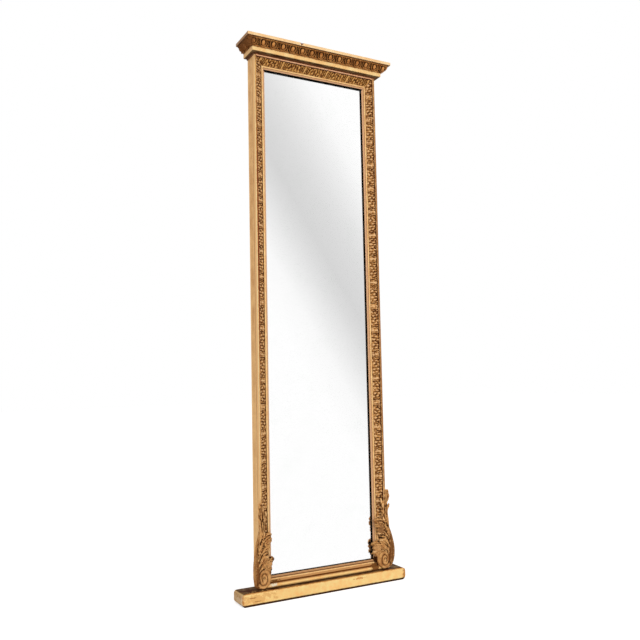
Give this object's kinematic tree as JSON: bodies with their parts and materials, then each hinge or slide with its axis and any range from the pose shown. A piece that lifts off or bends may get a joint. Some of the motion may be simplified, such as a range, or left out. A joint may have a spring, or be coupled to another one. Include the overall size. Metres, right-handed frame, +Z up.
{
  "type": "pier mirror",
  "caption": "Tall narrow giltwood pier mirror with a stepped cornice, carved bands beside the glass and scroll brackets on a low plinth.",
  "frame": {"origin": "on the floor, at the middle of the width and of the depth of the whole mirror", "axes": "+X to the mirror's right as seen from the front, -Y the front, +Y the wall side, +Z up"},
  "size_m": [0.71, 0.1226, 2.13],
  "materials": {
    "gilt_plain": "bright water gilding over yellow bole, burnished and worn",
    "gilt_plinth": "mottled gilding with gesso chips and brown dirt",
    "gilt_side": "matte ochre gilding on the sides, bare pine at the back",
    "gilt_carved": "gilded carving, bright on its high places and brown in its hollows",
    "gilt_scroll": "toned gilded carving with rubbed high places",
    "black_slip": "black distemper paint",
    "pine": "aged bare pine",
    "old_pine": "darkened sawn pine backboards",
    "mirror": "silvered plate glass, polished",
    "steel": "dulled steel"
  },
  "bodies": {
    "root": {"plinth": "gilt_plinth", "plinth_screws": "steel", "left_stile": "gilt_side", "right_stile": "gilt_side", "top_rail": "pine", "bottom_rail": "pine", "left_ground": "gilt_plain", "right_ground": "gilt_plain", "top_ground": "gilt_plain", "left_carved_band": "gilt_carved", "right_carved_band": "gilt_carved", "top_carved_band": "gilt_carved", "left_sight_edge": "gilt_plain", "right_sight_edge": "gilt_plain", "top_sight_edge": "gilt_plain", "bottom_sight_edge": "gilt_plain", "left_slip": "black_slip", "right_slip": "black_slip", "top_slip": "black_slip", "bottom_slip": "black_slip", "base_moulding": "gilt_plinth", "mirror_glass": "mirror", "glass_blocks": "pine", "backboard_1": "old_pine", "backboard_2": "old_pine", "backboard_3": "old_pine", "backboard_4": "old_pine", "backboard_brads": "steel", "cornice_block": "pine", "front_bed_moulding": "gilt_plain", "left_bed_moulding": "gilt_plain", "right_bed_moulding": "gilt_plain", "front_fascia": "gilt_plain", "left_fascia": "gilt_plain", "right_fascia": "gilt_plain", "front_egg_moulding": "gilt_carved", "left_egg_moulding": "gilt_carved", "right_egg_moulding": "gilt_carved", "top_board": "gilt_plain", "left_scroll_body": "gilt_scroll", "right_scroll_body": "gilt_scroll", "left_volute": "gilt_scroll", "right_volute": "gilt_scroll", "left_low_leaf": "gilt_scroll", "right_low_leaf": "gilt_scroll", "left_rolled_leaf": "gilt_scroll", "right_rolled_leaf": "gilt_scroll", "left_tall_leaf": "gilt_scroll", "right_tall_leaf": "gilt_scroll", "left_hanger_strap": "steel", "right_hanger_strap": "steel", "hanger_screws": "steel"},
    "left_ring": {"left_hanger_ring": "steel"},
    "right_ring": {"right_hanger_ring": "steel"}
  },
  "joints": [
    {"name": "left_ring_swing", "type": "hinge", "parent": "root", "child": "left_ring", "pos_m": [-0.2582, 0.05782, 1.72], "axis": [1, 0, 0], "range_deg": [-3, 180]},
    {"name": "right_ring_swing", "type": "hinge", "parent": "root", "child": "right_ring", "pos_m": [0.2582, 0.05782, 1.72], "axis": [1, 0, 0], "range_deg": [-3, 180]}
  ]
}
